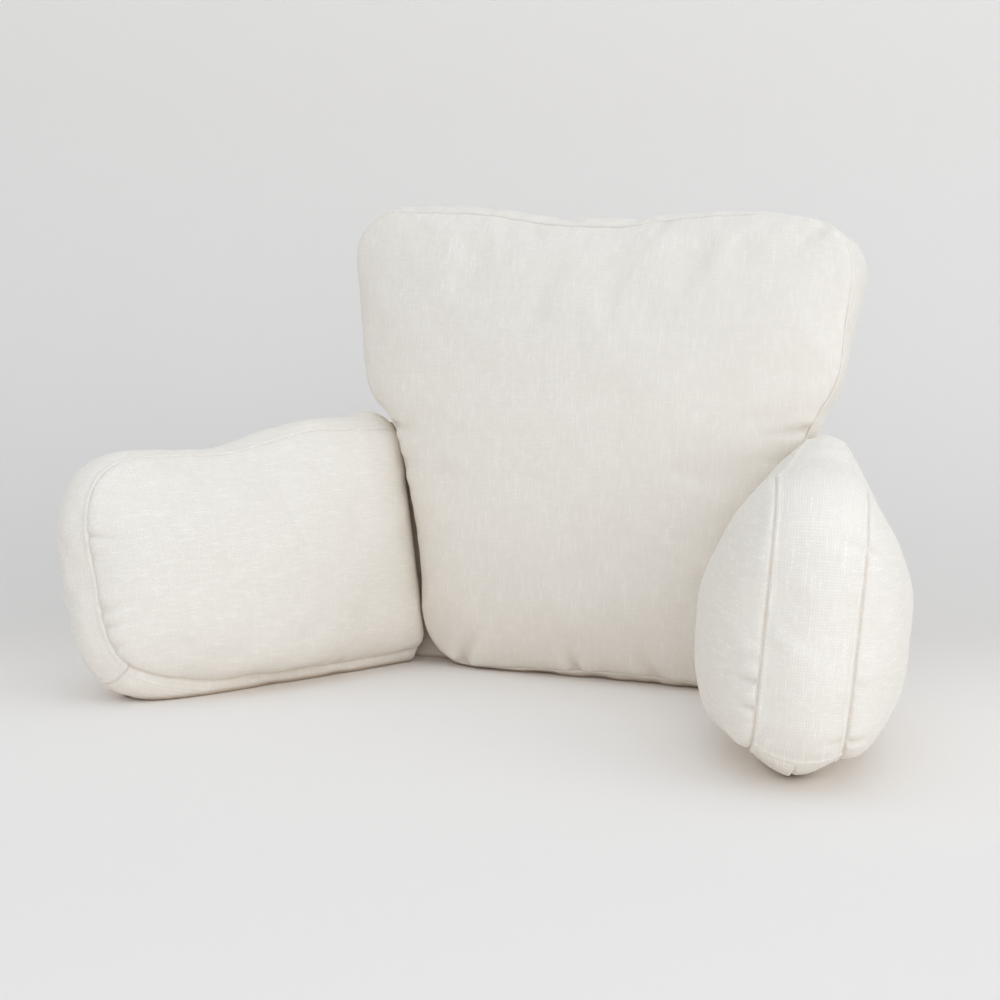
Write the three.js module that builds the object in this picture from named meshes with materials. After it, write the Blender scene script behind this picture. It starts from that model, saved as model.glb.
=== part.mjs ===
// A stroller pillow: a shaped back cushion and two arm cushions, with a cloth hinge strip on each side
// that holds an arm to the back. A cushion is two panels joined by a sewn strip, the boxing, and filled.
// Millimetres, +Z up. The origin is on the floor under the middle of the back, and the front faces -Y.
import * as THREE from 'three';

// Sizes that every cushion shares
const BOXING = 48; // width of the strip between a cushion's two panels
const FLOOR_PRESS = 5.5; // extra bulge of the boxing where the weight presses it to the floor
const FLOOR_FACING = 8; // how straight down the boxing has to face for that
const BOW = 2; // power of the curve across the boxing
const CLOTH_COLOUR = 0xe8e2d6;

// Facets of the cushions
const PANEL_RINGS = 6;
const BOXING_STEPS = 6;

// The back cushion leans backwards. Its outline is seen from the front: x across, z up its face, and
// each corner is rounded over this length of both its edges. The fullness says how a panel rises from its
// seam: 0.5 is an ellipse, 1 a parabola, and more a pinched edge. The dome is the half width and height of
// the oval that the crown takes near its middle. A puff adds to the boxing's bulge.
const BACK = {
  leanDegrees: 3.9,
  crown: 37,
  fullness: 0.56,
  topFullness: 0.56,
  bottomFullness: 0.56,
  boxingBulge: 6,
  pressedBow: BOW,
  middle: { x: 0, z: 165 },
  dome: { x: 172, z: 170 },
  facets: 96,
  puffs: [
    { at: 'neck dip', x: 6, z: 325, reach: 55, height: 4 },
    { at: 'right shoulder', x: 172, z: 324, reach: 50, height: -5 },
    { at: 'right hip', x: 182, z: 225, reach: 60, height: -5.5 },
    { at: 'left side', x: -138, z: 95, reach: 75, height: -5 },
  ],
  outline: [
    { at: 'left foot', x: -129, z: 1.5, round: 46 },
    { at: 'right foot', x: 123, z: 1.5, round: 30 },
    { at: 'right side', x: 132, z: 107, round: 50 },
    { at: 'right waist', x: 168, z: 186, round: 14 },
    { at: 'right hip', x: 186, z: 218, round: 18 },
    { at: 'right shoulder', x: 196, z: 326, round: 46 },
    { at: 'right rise', x: 92, z: 335, round: 46 },
    { at: 'neck dip', x: 6, z: 325, round: 34 },
    { at: 'left rise', x: -100, z: 345, round: 46 },
    { at: 'left shoulder', x: -204, z: 349, round: 48 },
    { at: 'left hip', x: -187, z: 211, round: 19 },
    { at: 'left waist', x: -162, z: 188, round: 14 },
    { at: 'left side', x: -136, z: 107, round: 50 },
  ],
};

// An arm cushion stands on edge and is rolled outwards. Its outline is seen square to its inner face:
// x from the hinge to the front, z up.
const ARM = {
  crown: 38,
  fullness: 0.54,
  topFullness: 0.86,
  boxingBulge: 7,
  middle: { x: 142, z: 77 },
  dome: { x: 134, z: 88 },
  facets: 84,
  rearPress: { x: 12, z: 90, reach: 75 },
  rearPuff: { x: 45, z: 180, reach: 60 },
  toePuff: { x: 240, z: 16, reach: 45 },
  taperLength: 230,
  outline: [
    { at: 'rear foot', x: 14, z: 9, round: 14 },
    { at: 'sole', x: 212, z: 9, round: 34 },
    { at: 'toe', x: 268, z: 27, round: 18 },
    { at: 'front', x: 276, z: 60, round: 15 },
    { at: 'nose', x: 281, z: 166, round: 56 },
    { at: 'top dip', x: 158, z: 163, round: 30 },
    { at: 'hump', x: 104, z: 180, round: 26 },
    { at: 'rear top', x: 13, z: 180, round: 18 },
  ],
};

const SOLE_CORNERS = ['rear foot', 'sole'];

// Where each arm's hinge stands on the floor, how far it opens and rolls, how much further its rear end is rolled,
// how much of that end is pressed in by the back and how wide the boxing is there, how the panels rise from the
// sole, how much lower the sole is and the power of the curve across its boxing, how far the back presses the
// rear boxing flat, how far the boxing puffs out at the rear top and the toe, and where the hinge strip ends.
// The side is -1 on the left and 1 on the right.
const ARM_POSES = [
  {
    name: 'left', side: -1, x: -151, y: 4.7, openDegrees: 22.3, rollDegrees: 10.3, twistDegrees: 0,
    pressedIn: -3.5, rearBoxing: 48, bottomFullness: 0.32, soleLowered: 3, pressedBow: 6, rearPressed: 6,
    rearPuffed: 6.5, toePuffed: 5, hingeTop: 185,
  },
  {
    name: 'right', side: 1, x: 146, y: 1.6, openDegrees: 16.9, rollDegrees: 4.6, twistDegrees: 4,
    pressedIn: 12, rearBoxing: 16, bottomFullness: 0.46, soleLowered: 0, pressedBow: BOW, rearPressed: 0,
    rearPuffed: -4, toePuffed: -1, hingeTop: 174,
  },
];

// The hinge strips: two layers of cover cloth from the middle of one boxing to the middle of the other
const HINGE = {
  thick: 2,
  bottom: 2, // height of the lower edge
  reach: 9, // how far the strip runs straight out of each boxing before it turns
  sewnGap: 0.75,
  columns: 4,
  leastRow: 0.8, // least height between two rows of facets
};

const clothMaterial = new THREE.MeshStandardMaterial({ color: CLOTH_COLOUR, roughness: 0.95, metalness: 0 });

const radians = THREE.MathUtils.degToRad;

// A closed outline with rounded corners, as points spaced evenly and running anticlockwise.
function roundedOutline(rows, count) {
  const corners = rows.map((row) => new THREE.Vector2(row.x, row.z));
  const path = new THREE.Path();
  rows.forEach((row, i) => {
    const corner = corners[i];
    const before = corners.at(i - 1).clone().sub(corner).setLength(row.round).add(corner);
    const after = corners[(i + 1) % rows.length].clone().sub(corner).setLength(row.round).add(corner);
    if (i === 0) path.moveTo(before.x, before.y);
    else path.lineTo(before.x, before.y);
    path.quadraticCurveTo(corner.x, corner.y, after.x, after.y);
  });
  path.closePath();
  const points = path.getSpacedPoints(count).slice(0, count);
  return THREE.ShapeUtils.isClockWise(points) ? points.reverse() : points;
}

// The outward normal at each point of an anticlockwise outline.
function outwardNormals(points) {
  return points.map((_, i) => {
    const along = points[(i + 1) % points.length].clone().sub(points.at(i - 1));
    return new THREE.Vector2(along.y, -along.x).normalize();
  });
}

// The rings of a cushion from its front panel to its rear one: how far out from the middle a ring lies, which
// panel's crown it follows, and how far across the boxing it lies.
function cushionRings() {
  const front = [];
  for (let i = 1; i <= PANEL_RINGS; i++) {
    const spread = Math.sin((i / PANEL_RINGS) * (Math.PI / 2));
    front.push({ spread, panel: 1, across: 1 });
  }
  const boxing = [];
  for (let i = 1; i < BOXING_STEPS; i++) {
    const across = 1 - (2 * i) / BOXING_STEPS;
    boxing.push({ spread: 1, panel: 0, across });
  }
  const rear = front.map((ring) => ({ ...ring, panel: -1, across: -1 })).reverse();
  return [...front, ...boxing, ...rear];
}

// The boxing's width at a point of the seams: an arm's can narrow towards its hinge.
function boxingWidthAt(seam, { taper }) {
  if (!taper) return BOXING;
  const along = THREE.MathUtils.smoothstep(Math.abs(seam.x), 0, taper.length);
  return THREE.MathUtils.lerp(taper.rearWidth, BOXING, along);
}

// How far a point is moved back by the twist of an arm, whose rear end can be rolled further than its front.
function twistedBack(point, { taper }) {
  if (!taper) return 0;
  const along = THREE.MathUtils.smoothstep(Math.abs(point.x), 0, taper.length);
  return point.y * Math.tan(taper.twist) * (1 - along);
}

// How far the boxing bulges at a point of the seams, so far across.
function boxingBulgeAt(seam, normal, across, { boxingBulge, pressedBow, puffs }) {
  const pressed = Math.max(0, -normal.y) ** FLOOR_FACING;
  const share = 1 - Math.abs(across) ** THREE.MathUtils.lerp(BOW, pressedBow, pressed);
  const puffed = puffs.map(({ x, z, reach, height }) =>
    height * Math.exp(-(((seam.x - x) ** 2 + (seam.y - z) ** 2) / reach ** 2)));
  return share * puffed.reduce((sum, puff) => sum + puff, boxingBulge + FLOOR_PRESS * pressed);
}

// A point on the way from a panel's middle to its seam: rings near the middle are ovals, the last is the seam.
function ringPoint(centre, seam, spread, dome) {
  const toSeam = seam.clone().sub(centre);
  const reach = toSeam.length();
  const oval = reach / Math.hypot(toSeam.x / dome.x, toSeam.y / dome.z);
  return toSeam.setLength(spread * THREE.MathUtils.lerp(oval, reach, spread ** 2)).add(centre);
}

// How a panel rises from its seam in a direction from its middle.
function fullnessTowards(direction, { fullness, topFullness, bottomFullness }) {
  const end = direction.y > 0 ? topFullness : bottomFullness;
  return THREE.MathUtils.lerp(fullness, end, direction.y ** 2);
}

// A filled cushion that stands upright and faces -Y, before it is placed.
function cushionGeometry(cushion, outline) {
  const { middle, dome, crown } = cushion;
  const centre = new THREE.Vector2(middle.x, middle.z);
  const normals = outwardNormals(outline);
  const rings = cushionRings();
  const count = outline.length;
  const positions = [];
  for (const ring of rings) {
    outline.forEach((seam, i) => {
      const bulge = boxingBulgeAt(seam, normals[i], ring.across, cushion);
      const point = ringPoint(centre, seam, ring.spread, dome).addScaledVector(normals[i], bulge);
      const rise = fullnessTowards(seam.clone().sub(centre).normalize(), cushion);
      const width = THREE.MathUtils.lerp(BOXING, boxingWidthAt(seam, cushion), ring.spread ** 2);
      const front = (ring.across * width) / 2 + ring.panel * crown * (1 - ring.spread ** 2) ** rise;
      positions.push(point.x, twistedBack(point, cushion) - front, point.y);
    });
  }
  const frontPole = positions.length / 3;
  const poleFront = BOXING / 2 + crown;
  const poleBack = twistedBack(centre, cushion);
  positions.push(centre.x, poleBack - poleFront, centre.y, centre.x, poleBack + poleFront, centre.y);
  const rearPole = frontPole + 1;
  const lastRing = (rings.length - 1) * count;
  const index = [];
  for (let i = 0; i < count; i++) {
    const next = (i + 1) % count;
    index.push(frontPole, i, next, rearPole, lastRing + next, lastRing + i);
    for (let ring = 0; ring < lastRing; ring += count) {
      const [a, b] = [ring + i, ring + next];
      index.push(a, a + count, b, b, a + count, b + count);
    }
  }
  const geometry = new THREE.BufferGeometry();
  geometry.setAttribute('position', new THREE.Float32BufferAttribute(positions, 3));
  geometry.setIndex(index);
  return geometry;
}

// Presses flat on the floor whatever of a placed cushion would reach below it.
function restOnFloor(mesh) {
  mesh.updateWorldMatrix(true, false);
  const toMesh = mesh.matrixWorld.clone().invert();
  const position = mesh.geometry.getAttribute('position');
  const point = new THREE.Vector3();
  for (let i = 0; i < position.count; i++) {
    point.fromBufferAttribute(position, i).applyMatrix4(mesh.matrixWorld);
    if (point.z > 0) continue;
    point.z = 0;
    point.applyMatrix4(toMesh);
    position.setXYZ(i, point.x, point.y, point.z);
  }
}

function clothMesh(name, geometry) {
  geometry.computeVertexNormals();
  const mesh = new THREE.Mesh(geometry, clothMaterial.clone());
  mesh.name = name;
  return mesh;
}

function backCushion() {
  const outline = roundedOutline(BACK.outline, BACK.facets);
  const mesh = clothMesh('back_cushion', cushionGeometry(BACK, outline));
  mesh.rotation.x = -radians(BACK.leanDegrees);
  restOnFloor(mesh);
  return mesh;
}

// An arm in a group of its own, which stands at the hinge and turns the arm to its opening.
function armCushion(pose) {
  const rows = ARM.outline.map((row) => {
    const rearEnd = row.at.startsWith('rear') ? pose.pressedIn : 0;
    const lowered = SOLE_CORNERS.includes(row.at) ? pose.soleLowered : 0;
    return { ...row, x: pose.side * (row.x + rearEnd), z: row.z - lowered };
  });
  const cushion = {
    ...ARM,
    bottomFullness: pose.bottomFullness,
    pressedBow: pose.pressedBow,
    middle: { x: pose.side * ARM.middle.x, z: ARM.middle.z },
    taper: { rearWidth: pose.rearBoxing, twist: radians(pose.twistDegrees), length: ARM.taperLength },
    puffs: [
      { ...ARM.rearPress, x: pose.side * ARM.rearPress.x, height: -pose.rearPressed },
      { ...ARM.rearPuff, x: pose.side * ARM.rearPuff.x, height: pose.rearPuffed },
      { ...ARM.toePuff, x: pose.side * ARM.toePuff.x, height: pose.toePuffed },
    ],
  };
  const geometry = cushionGeometry(cushion, roundedOutline(rows, ARM.facets));
  const mesh = clothMesh(`${pose.name}_arm_cushion`, geometry);
  mesh.rotation.x = -radians(pose.rollDegrees);
  const hinge = new THREE.Group();
  hinge.position.set(pose.x, pose.y, 0);
  hinge.rotation.z = -pose.side * radians(90 - pose.openDegrees);
  hinge.add(mesh);
  restOnFloor(mesh);
  return mesh;
}

// The middle line of a cushion's boxing as a closed row of points in the pillow's frame.
function boxingMiddle(mesh, count) {
  const start = (PANEL_RINGS + BOXING_STEPS / 2 - 1) * count;
  const position = mesh.geometry.getAttribute('position');
  mesh.updateWorldMatrix(true, false);
  return Array.from({ length: count }, (_, i) =>
    new THREE.Vector3().fromBufferAttribute(position, start + i).applyMatrix4(mesh.matrixWorld));
}

// The heights of a hinge strip's rows: its two ends, and each bend of the two lines that it is sewn to.
function hingeHeights(lines, top) {
  const bends = lines.flat().map((point) => point.z).sort((a, b) => a - b);
  const heights = [HINGE.bottom];
  for (const height of bends) {
    const clear = height - heights.at(-1) > HINGE.leastRow && top - height > HINGE.leastRow;
    if (clear) heights.push(height);
  }
  return [...heights, top];
}

// Where a closed row of points crosses a height, furthest along a direction.
function crossing(points, height, direction) {
  let furthest = null;
  points.forEach((a, i) => {
    const b = points[(i + 1) % points.length];
    if ((a.z - height) * (b.z - height) > 0 || a.z === b.z) return;
    const point = a.clone().lerp(b, (height - a.z) / (b.z - a.z));
    if (!furthest || point.dot(direction) > furthest.dot(direction)) furthest = point;
  });
  return furthest;
}

// A strip of cloth from the rear end of an arm, round to the side of the back: a bent sheet whose edges stand
// square on the middle of both boxings.
function hingeStrip(pose, back, arm) {
  const opening = radians(pose.openDegrees);
  const behindArm = new THREE.Vector3(-pose.side * Math.sin(opening), Math.cos(opening), 0);
  const besideBack = new THREE.Vector3(pose.side, 0, 0);
  const armLine = boxingMiddle(arm, ARM.facets);
  const backLine = boxingMiddle(back, BACK.facets);
  const heights = hingeHeights([armLine, backLine], pose.hingeTop);
  const faces = [[], []];
  for (const height of heights) {
    const start = crossing(armLine, height, behindArm).addScaledVector(behindArm, HINGE.sewnGap);
    const end = crossing(backLine, height, besideBack).addScaledVector(besideBack, HINGE.sewnGap);
    const bend = new THREE.CubicBezierCurve3(
      start,
      start.clone().addScaledVector(behindArm, HINGE.reach),
      end.clone().addScaledVector(besideBack, HINGE.reach),
      end,
    );
    for (let column = 0; column <= HINGE.columns; column++) {
      const at = column / HINGE.columns;
      const along = bend.getTangent(at);
      const square = new THREE.Vector3(along.y, -along.x, 0).setLength(HINGE.thick / 2);
      const centre = bend.getPoint(at);
      faces[0].push(centre.clone().add(square));
      faces[1].push(centre.clone().sub(square));
    }
  }
  return clothMesh(`${pose.name}_hinge_strip`, sheetGeometry(faces, heights.length - 1, HINGE.columns));
}

// A closed sheet between two faces, each a grid of points.
function sheetGeometry(faces, rows, columns) {
  const width = columns + 1;
  const farFace = faces[0].length;
  const index = [];
  const quad = (a, b, c, d) => index.push(a, b, c, a, c, d);
  for (let row = 0; row < rows; row++) {
    for (let column = 0; column < columns; column++) {
      const a = row * width + column;
      quad(a, a + 1, a + 1 + width, a + width);
      quad(farFace + a, farFace + a + width, farFace + a + 1 + width, farFace + a + 1);
    }
    const [first, last] = [row * width, row * width + columns];
    quad(first, first + width, farFace + first + width, farFace + first);
    quad(last, farFace + last, farFace + last + width, last + width);
  }
  const topRow = rows * width;
  for (let column = 0; column < columns; column++) {
    const top = topRow + column;
    quad(column, farFace + column, farFace + column + 1, column + 1);
    quad(top, top + 1, farFace + top + 1, farFace + top);
  }
  const geometry = new THREE.BufferGeometry().setFromPoints(faces.flat());
  geometry.setIndex(index);
  return geometry;
}

const pillow = new THREE.Group();
const back = backCushion();
pillow.add(back);
for (const pose of ARM_POSES) {
  const arm = armCushion(pose);
  pillow.add(arm.parent, hingeStrip(pose, back, arm));
}

export default pillow;
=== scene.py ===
"""Stroller pillow: the cloth covers of a back cushion and two arm cushions, hinge strips and a stage.

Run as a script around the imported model. Everything is in metres, in the frame of that model: +X to the
right seen from the front, the front faces -Y, +Z up, and the floor is at z = 0.
"""

import math
from collections import namedtuple
from dataclasses import dataclass

import bpy
import numpy as np
from mathutils import Matrix, Vector, noise
from mathutils.kdtree import KDTree


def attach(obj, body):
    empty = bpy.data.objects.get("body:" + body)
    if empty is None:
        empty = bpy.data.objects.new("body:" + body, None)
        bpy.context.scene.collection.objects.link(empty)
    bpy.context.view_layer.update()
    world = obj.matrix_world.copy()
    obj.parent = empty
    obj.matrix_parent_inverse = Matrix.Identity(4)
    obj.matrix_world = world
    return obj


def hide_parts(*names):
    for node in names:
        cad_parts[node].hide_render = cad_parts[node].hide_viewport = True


bl_info = {
    "name": "Stroller pillow",
    "version": (1, 0, 0),
    "blender": (4, 5, 0),
    "location": "View3D > Sidebar > Pillow",
    "description": "Makes a stroller pillow's filled cushions, its hinge strips and a studio stage",
    "category": "Object",
}

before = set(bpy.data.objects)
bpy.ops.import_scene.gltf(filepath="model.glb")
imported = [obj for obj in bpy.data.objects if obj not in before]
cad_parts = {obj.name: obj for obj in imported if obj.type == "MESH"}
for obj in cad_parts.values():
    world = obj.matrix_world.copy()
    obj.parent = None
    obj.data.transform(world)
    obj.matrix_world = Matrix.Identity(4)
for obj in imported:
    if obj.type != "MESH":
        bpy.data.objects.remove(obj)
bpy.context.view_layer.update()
BODY = "root"
GRAIN_MAP = "Grain"
PAINTED_SHADE = "Painted shade"
BOXING_MIDDLE = "Boxing middle"
MM = 0.001

# Tables, in millimetres and degrees
Corner = namedtuple("Corner", "at x z round")
Puff = namedtuple("Puff", "at x z reach height")
ShadedSeam = namedtuple("ShadedSeam", "at x z reach share")
ArmPose = namedtuple(
    "ArmPose",
    "side x y opening roll twist pressed_in rear_boxing bottom_fullness sole_lowered pressed_bow"
    " rear_press rear_puff toe_puff hinge_top",
)
Fold = namedtuple("Fold", "at panel x z depth width length")
Dent = namedtuple("Dent", "at panel x z across depth width length")
Divisions = namedtuple("Divisions", "columns panel_edge boxing_edge face")

FRONT, BOXING, REAR = range(3)

BACK_LEAN = 3.9
BACK_CORNERS = (
    Corner("left foot", -129, 1.5, 46),
    Corner("right foot", 123, 1.5, 30),
    Corner("right side", 132, 107, 50),
    Corner("right waist", 168, 186, 14),
    Corner("right hip", 186, 218, 18),
    Corner("right shoulder", 196, 326, 46),
    Corner("right rise", 92, 335, 46),
    Corner("neck dip", 6, 325, 34),
    Corner("left rise", -100, 345, 46),
    Corner("left shoulder", -204, 349, 48),
    Corner("left hip", -187, 211, 19),
    Corner("left waist", -162, 188, 14),
    Corner("left side", -136, 107, 50),
)
BACK_PUFFS = (
    Puff("neck dip", 6, 325, 55, 4),
    Puff("right shoulder", 172, 324, 50, -5),
    Puff("right hip", 182, 225, 60, -5.5),
    Puff("left side", -138, 95, 75, -5),
)
BACK_LIFTED = (
    Puff("hem", 24, 1.5, 62, -4),
    Puff("right hem", 105, 1.5, 40, -1.5),
)
BACK_DRAWN = (
    Puff("right hip", 184, 222, 60, -9),
)
# Where the shade painted along the back's seams is darker
BACK_SHADED_SEAMS = (
    ShadedSeam("right hip", 182, 212, 52, 0.45),
    ShadedSeam("left hip", -170, 198, 30, 0.25),
)

ARM_CORNERS = (
    Corner("rear foot", 14, 9, 14),
    Corner("sole", 212, 9, 34),
    Corner("toe", 268, 27, 18),
    Corner("front", 276, 60, 15),
    Corner("nose", 281, 166, 56),
    Corner("top dip", 158, 163, 30),
    Corner("hump", 104, 180, 26),
    Corner("rear top", 13, 180, 18),
)
SOLE_CORNERS = ("rear foot", "sole")
ARM_POSES = {
    "left": ArmPose(-1, -151, 4.7, 22.3, 10.3, 0, -3.5, 48, 0.32, 3, 6, 6, 6.5, 5, 185),
    "right": ArmPose(1, 146, 1.6, 16.9, 4.6, 4, 12, 16, 0.46, 0, 2, 0, -4, -1, 174),
}

BACK_FOLDS = (
    Fold("left waist", FRONT, -160, 184, 2.2, 7, 26),
    Fold("under left waist", FRONT, -150, 152, 1.2, 9, 24),
    Fold("right waist", FRONT, 166, 184, 2.2, 6, 24),
    Fold("under right waist", FRONT, 156, 162, 1.3, 8, 28),
    Fold("right shoulder", FRONT, 178, 327, 1.3, 8, 24),
    Fold("right of the neck", FRONT, 60, 331, 0.8, 9, 20),
    Fold("left of the neck", FRONT, -40, 333, 0.8, 10, 22),
    Fold("hem tuck", FRONT, 0, 1.5, 2.4, 7, 18),
    Fold("left hem", FRONT, -94, 1.5, 2.4, 8, 26),
    Fold("right hem", FRONT, 62, 1.5, 1.2, 11, 22),
    Fold("left waist behind", REAR, -158, 180, 2.2, 6, 24),
    Fold("right waist behind", REAR, 164, 180, 2.0, 7, 26),
    Fold("left shoulder behind", REAR, -186, 332, 1.2, 8, 22),
    Fold("right shoulder behind", REAR, 180, 320, 1.2, 8, 22),
    Fold("neck behind", REAR, 14, 326, 0.9, 9, 22),
    Fold("left hem behind", REAR, -70, 1.5, 1.8, 8, 22),
    Fold("right hem behind", REAR, 40, 1.5, 1.6, 9, 20),
)
ARM_FOLDS = {
    "left": (
        Fold("front wrinkle", FRONT, 279, 113, 1.6, 3.6, 17),
        Fold("small wrinkle", FRONT, 278, 99, 0.8, 4, 11),
        Fold("low wrinkle", FRONT, 276, 64, 1.6, 3.4, 14),
        Fold("lower wrinkle", FRONT, 274, 51, 1.4, 4, 14),
        Fold("toe wrinkle", FRONT, 270, 37, 1.2, 4, 12),
        Fold("sole wrinkle", FRONT, 96, 6, 1.2, 7, 16),
        Fold("outer wrinkle", REAR, 279, 104, 1.4, 3.6, 15),
        Fold("outer low wrinkle", REAR, 275, 58, 1.5, 3.4, 13),
        Fold("outer toe wrinkle", REAR, 270, 36, 1.2, 4, 12),
        Fold("outer sole wrinkle", REAR, 120, 6, 1.2, 7, 16),
        Fold("outer hump", REAR, 118, 177, 1.0, 8, 16),
    ),
    "right": (
        Fold("long wrinkle", FRONT, 277, 74, 1.7, 2.6, 14),
        Fold("low wrinkle", FRONT, 276, 62, 1.7, 2.6, 13),
        Fold("small wrinkle", FRONT, 279, 117, 0.8, 3.4, 10),
        Fold("inner dart", FRONT, 273, 46, 2.2, 4, 10),
        Fold("outer pucker", REAR, 280, 138, 1.8, 3.4, 9),
        Fold("outer dart", REAR, 270, 32, 2.0, 4, 10),
        Fold("outer low wrinkle", REAR, 276, 66, 1.3, 3.4, 12),
        Fold("outer sole wrinkle", REAR, 140, 9, 1.2, 7, 16),
        Fold("outer hump", REAR, 118, 177, 1.0, 8, 16),
    ),
}
BACK_DENTS = (
    Dent("top left", BOXING, -120, 347, 10, -2, 14, 70),
)
ARM_DENTS = {
    "left": (
        Dent("rear puff", BOXING, 22, 180, 0, -5, 18, 13),
    ),
    "right": (
        Dent("outer brow", BOXING, 190, 165, -14, -3, 12, 70),
        Dent("outer top", REAR, 165, 158, 0, 5, 22, 80),
        Dent("outer fold", BOXING, 280, 138, -17, 1.6, 8, 2.4),
        Dent("outer low fold", BOXING, 270, 32, -18, 1.4, 6, 3),
    ),
}

# How a cushion's mesh is divided: columns, rings this far from a seam, and the usual face elsewhere
EDGE_RINGS = (0, 0.3, 0.7, 1.2, 1.8, 2.6, 3.6, 5, 7, 9.5, 12.5, 16)
HALF_BOXING = 24
PANEL_EDGE = np.array(EDGE_RINGS) * MM
BOXING_EDGE = np.array((*EDGE_RINGS, 19, 21.4, 22.8, 23.5, HALF_BOXING)) / HALF_BOXING
BACK_FINE = Divisions(768, PANEL_EDGE, BOXING_EDGE, 3.0 * MM)
ARM_FINE = Divisions(640, PANEL_EDGE, BOXING_EDGE, 3.0 * MM)
COARSE_EDGE = np.array((0, 4, 9)) * MM
COARSE_BOXING = np.array((0, 8, 16, HALF_BOXING)) / HALF_BOXING
COARSE = Divisions(160, COARSE_EDGE, COARSE_BOXING, 7.0 * MM)
FEWEST_COLUMNS = 8
PROFILE_STEPS = 160
ARC_STEPS = 24
OUTLINE_STEPS = 4000
DENSER = 4  # how much closer the columns stand near an arm's closing
DENSE_REACH = 9 * MM

# The filled shape: how far the floor presses the boxing out, the power that picks what faces the floor,
# the power of the curve across the boxing, and how tight the filling is
FLOOR_PRESS = 5.5 * MM
FLOOR_FACING = 8
BOW = 2

# The seams: how far they wander, the groove, the ridge of the allowance beside it, and the gathers
SEAM_WANDER = 1.3 * MM
SEAM_WANDER_LENGTH = 45 * MM
SEAM_WAVE = 18 * MM
SEAM_GROOVE = 0.5 * MM
GROOVE_VARIES = 0.4
SEAM_ALLOWANCE = 1.7 * MM
SEAM_RIDGE = 1.1 * MM
RIDGE_VARIES = 0.5
# the width of the shade painted along a seam and in the slits of an arm's closing
SEAM_SHADE_WIDTH = 0.45 * MM
GATHER_LENGTH = 15 * MM
GATHER_REACH = 9 * MM
HALF_GATHER = 0.6  # height of the gathers of half that length, beside the others
SEWN_FLAT = 2 * MM  # how far from a seam the cloth lies flat under gathers and folds, and under dents
DENT_FLAT = 3 * MM

# The noises along a seam: how far apart two of them lie, their numbers, and the first number of those
# that each region has for itself
NOISE_APART = 7.3
FRONT_WANDER, REAR_WANDER, SEAM_UNEVEN = range(3)
GATHER_NOISE = 3
HALF_GATHER_NOISE = 6

# Painted shade on the cloth: the depth of a fold whose hollow is painted as dark as can be, how dark the
# shade painted where the cloth curves under to the floor is and up to which height, and up to which
# height shade is painted on a low part
FOLD_SHADED = 11 * MM
FLOOR_SHADE = 0.9
FLOOR_SHADED = 2.6 * MM
LOW_SHADED = 85 * MM

# The filling's lumps, and how low they are at a seam and where they are whole again
LUMP_LENGTH = 55 * MM
SMALL_LUMP = 21 * MM
SMALL_LUMP_SHARE = 0.3
LUMPS_AT_SEAM = 0.25
LUMPS_RISE = (2 * MM, 30 * MM)

# The closing under an arm: the points of the outline where it begins, at the toe, and ends, and its lap
ARM_CLOSING = ((260, 22), (60, 9))
LAP_GROOVE = 0.9 * MM
LAP_GROOVE_WIDTH = 0.9 * MM
LAP_HEIGHT = 1.1 * MM
LAP_RISE = 1.2 * MM
LAP_WIDTH = 12 * MM
LAP_START = 3 * MM
LAP_END = 20 * MM

# The simulation of the filled cloth
PRESSURE = 4
BENDING = 0.15
QUALITY = 6
FRAMES = 20
SEWN = 0.1 * MM  # a vertex nearer than this to a seam is held
SMOOTHINGS = 40
MOST_WRINKLED = 1.25 * MM
NEIGHBOURS = 6
SPREAD = 5 * MM

COLOUR = {"subtype": "COLOR", "size": 3, "min": 0, "max": 1}


class PillowSizes(bpy.types.PropertyGroup):
    """Sizes of the covers."""

    boxing: bpy.props.FloatProperty(
        name="Boxing", default=0.048, unit="LENGTH",
        description="Width of the strip between a cushion's two panels",
    )
    seam_depth: bpy.props.FloatProperty(
        name="Seam depth", default=0.0009, unit="LENGTH",
        description="How deep a sewn seam is drawn in",
    )
    seam_ridge: bpy.props.FloatProperty(
        name="Seam ridge", default=0.0008, unit="LENGTH",
        description="Height of the seam allowance under the boxing",
    )
    gathers: bpy.props.FloatProperty(
        name="Gathers", default=0.0005, unit="LENGTH",
        description="Height of the small gathers beside the seams",
    )
    slack: bpy.props.FloatProperty(
        name="Slack", default=0.03,
        description="Share by which the cloth is cut larger than the filled shape",
    )
    unevenness: bpy.props.FloatProperty(
        name="Unevenness", default=0.0014, unit="LENGTH",
        description="How far the filling makes a panel uneven",
    )
    strip_thickness: bpy.props.FloatProperty(
        name="Strip thickness", default=0.0016, unit="LENGTH",
        description="Thickness of a hinge strip",
    )
    thread_pitch: bpy.props.FloatProperty(
        name="Thread pitch", default=0.00145, unit="LENGTH",
        description="Distance between two threads of the weave",
    )


class PillowColours(bpy.types.PropertyGroup):
    """Colours of the covers and the stage."""

    slub: bpy.props.FloatVectorProperty(
        name="Slub", default=(0.966, 0.920, 0.852), **COLOUR,
        description="Colour of the thick, pale stretches of a thread",
    )
    thread: bpy.props.FloatVectorProperty(
        name="Thread", default=(0.876, 0.829, 0.759), **COLOUR,
        description="Colour of most threads",
    )
    gap: bpy.props.FloatVectorProperty(
        name="Gap", default=(0.70, 0.625, 0.525), **COLOUR,
        description="Colour between the threads",
    )
    # Painted shade: the colour towards which the cloth is blended where shade is painted, in seams,
    # folds, slits and the hinges' inner sides, low on the back and where the cloth meets the floor
    crease: bpy.props.FloatVectorProperty(
        name="Painted shade", default=(0.38, 0.265, 0.165), **COLOUR,
        description="Colour of the cloth deep in a crease",
    )
    sweep: bpy.props.FloatVectorProperty(
        name="Sweep", default=(0.896, 0.864, 0.829), **COLOUR,
        description="Colour of the floor and backdrop",
    )


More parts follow.
